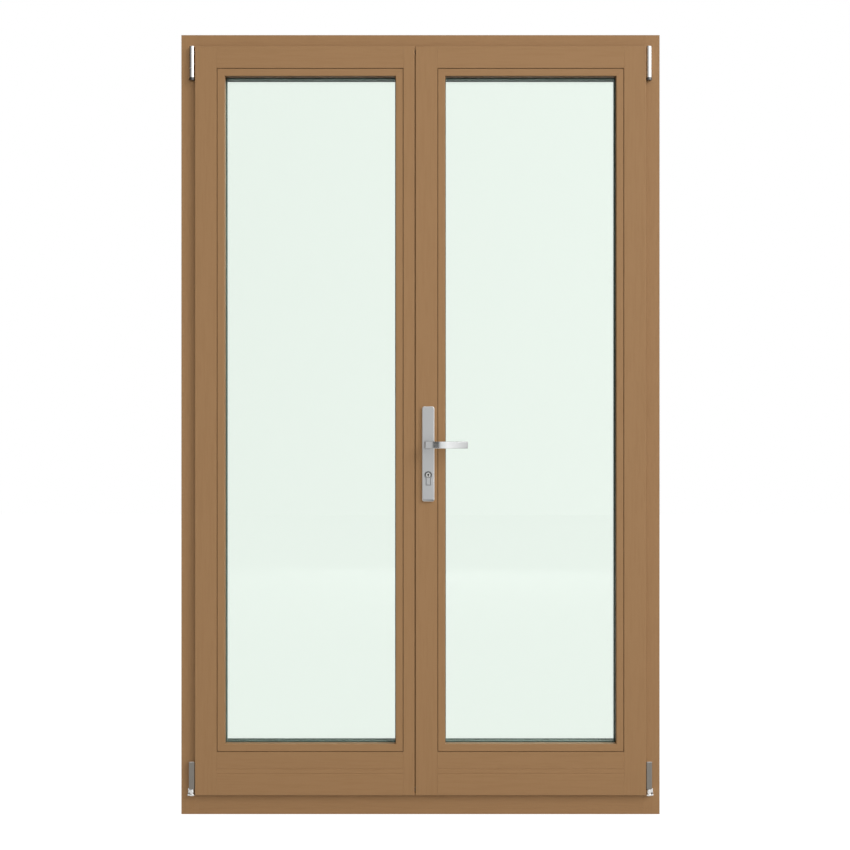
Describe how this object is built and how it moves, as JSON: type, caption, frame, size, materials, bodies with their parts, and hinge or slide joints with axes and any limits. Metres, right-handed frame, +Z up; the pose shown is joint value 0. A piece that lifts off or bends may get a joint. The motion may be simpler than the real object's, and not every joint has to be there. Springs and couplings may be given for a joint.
{
  "type": "french doors",
  "caption": "Two-leaf inward-opening timber French doors in their own frame, double glazed, with corner hinges, lever handle, keyed lock, shooting rods and flush bolts.",
  "frame": {"origin": "centre of the frame's bottom face, at mid depth of the frame", "axes": "+X to the right seen from the room, -Y towards the room, +Z up"},
  "size_m": [1.24, 0.147, 2.02],
  "materials": {
    "painted_timber": "opaque satin paint on fine-grained timber",
    "clear_glass": "clear low-emissivity float glass",
    "spacer_bar": "dark warm-edge spacer",
    "black_seal": "matt black seal",
    "brown_seal": "matt brown weather seal",
    "bright_hinge": "bright nickel-plated hinge",
    "satin_nickel": "satin nickel handle set",
    "zinc_steel": "zinc-plated hardware",
    "lock_brass": "nickel-plated brass cylinder",
    "mill_aluminium": "anodised rain rail",
    "grey_plastic": "moulded caps and setting blocks"
  },
  "bodies": {
    "frame": {"frame_left_jamb": "painted_timber", "frame_right_jamb": "painted_timber", "frame_head": "painted_timber", "frame_bottom_rail": "painted_timber", "frame_weather_seal": "brown_seal", "rain_rail": "mill_aluminium", "rain_rail_end_caps": "grey_plastic", "upper_hinge_bearings": "bright_hinge", "lower_hinge_bearings": "bright_hinge", "hinge_pins": "bright_hinge", "frame_keeps": "zinc_steel", "frame_screws": "zinc_steel"},
    "active_leaf": {"right_hinge_stile": "painted_timber", "right_meeting_stile": "painted_timber", "right_top_rail": "painted_timber", "right_bottom_rail": "painted_timber", "right_side_beads": "painted_timber", "right_rail_beads": "painted_timber", "right_inner_pane": "clear_glass", "right_outer_pane": "clear_glass", "right_spacer": "spacer_bar", "right_glazing_tapes": "black_seal", "right_setting_blocks": "grey_plastic", "right_upper_hinge_arm": "bright_hinge", "right_lower_hinge_arm": "bright_hinge", "right_leaf_screws": "zinc_steel", "lock_faceplate": "zinc_steel", "lock_case": "zinc_steel", "lock_cylinder": "lock_brass", "handle_backplate": "satin_nickel"},
    "passive_leaf": {"left_hinge_stile": "painted_timber", "left_meeting_stile": "painted_timber", "left_top_rail": "painted_timber", "left_bottom_rail": "painted_timber", "left_side_beads": "painted_timber", "left_rail_beads": "painted_timber", "left_inner_pane": "clear_glass", "left_outer_pane": "clear_glass", "left_spacer": "spacer_bar", "left_glazing_tapes": "black_seal", "left_setting_blocks": "grey_plastic", "left_upper_hinge_arm": "bright_hinge", "left_lower_hinge_arm": "bright_hinge", "left_leaf_screws": "zinc_steel", "outer_astragal": "painted_timber", "meeting_seal": "brown_seal", "meeting_keeps": "zinc_steel", "flush_bolt_plates": "zinc_steel"},
    "handle": {"handle_lever": "satin_nickel", "handle_spindle": "zinc_steel", "gear_pinion": "zinc_steel"},
    "top_rod": {"right_top_rod": "zinc_steel"},
    "bottom_rod": {"right_bottom_rod": "zinc_steel"},
    "key_plug": {"cylinder_plug": "lock_brass"},
    "bolt": {"deadbolt": "zinc_steel"},
    "top_flush_bolt": {"left_top_bolt": "zinc_steel"},
    "bottom_flush_bolt": {"left_bottom_bolt": "zinc_steel"}
  },
  "joints": [
    {"name": "active_leaf_swing", "type": "hinge", "parent": "frame", "child": "active_leaf", "pos_m": [0.5905, -0.043, 0.05], "axis": [0, 0, 1], "range_deg": [0, 100]},
    {"name": "passive_leaf_swing", "type": "hinge", "parent": "frame", "child": "passive_leaf", "pos_m": [-0.5905, -0.043, 0.05], "axis": [0, 0, -1], "range_deg": [0, 90]},
    {"name": "handle_turn", "type": "hinge", "parent": "active_leaf", "child": "handle", "pos_m": [0.02, -0.06, 0.958], "axis": [0, 1, 0], "range_deg": [0, 90]},
    {"name": "top_rod_slide", "type": "slide", "parent": "active_leaf", "child": "top_rod", "axis": [0, 0, 1], "range_m": [0, 0.01257]},
    {"name": "bottom_rod_slide", "type": "slide", "parent": "active_leaf", "child": "bottom_rod", "axis": [0, 0, -1], "range_m": [0, 0.01257]},
    {"name": "key_turn", "type": "hinge", "parent": "active_leaf", "child": "key_plug", "pos_m": [0.02, -0.06, 0.88], "axis": [0, 1, 0], "range_deg": [0, 360]},
    {"name": "deadbolt_slide", "type": "slide", "parent": "active_leaf", "child": "bolt", "axis": [-1, 0, 0], "range_m": [0, 0.02]},
    {"name": "top_flush_bolt_slide", "type": "slide", "parent": "passive_leaf", "child": "top_flush_bolt", "axis": [0, 0, 1], "range_m": [0, 0.014]},
    {"name": "bottom_flush_bolt_slide", "type": "slide", "parent": "passive_leaf", "child": "bottom_flush_bolt", "axis": [0, 0, -1], "range_m": [0, 0.014]}
  ],
  "couplings": [
    {"joint": "passive_leaf_swing", "follows": "active_leaf_swing", "ratio": 0.9},
    {"joint": "top_rod_slide", "follows": "handle_turn", "m_per_rad": 0.008},
    {"joint": "bottom_rod_slide", "follows": "handle_turn", "m_per_rad": 0.008},
    {"joint": "key_turn", "follows": "deadbolt_slide", "rad_per_m": 314.15}
  ]
}
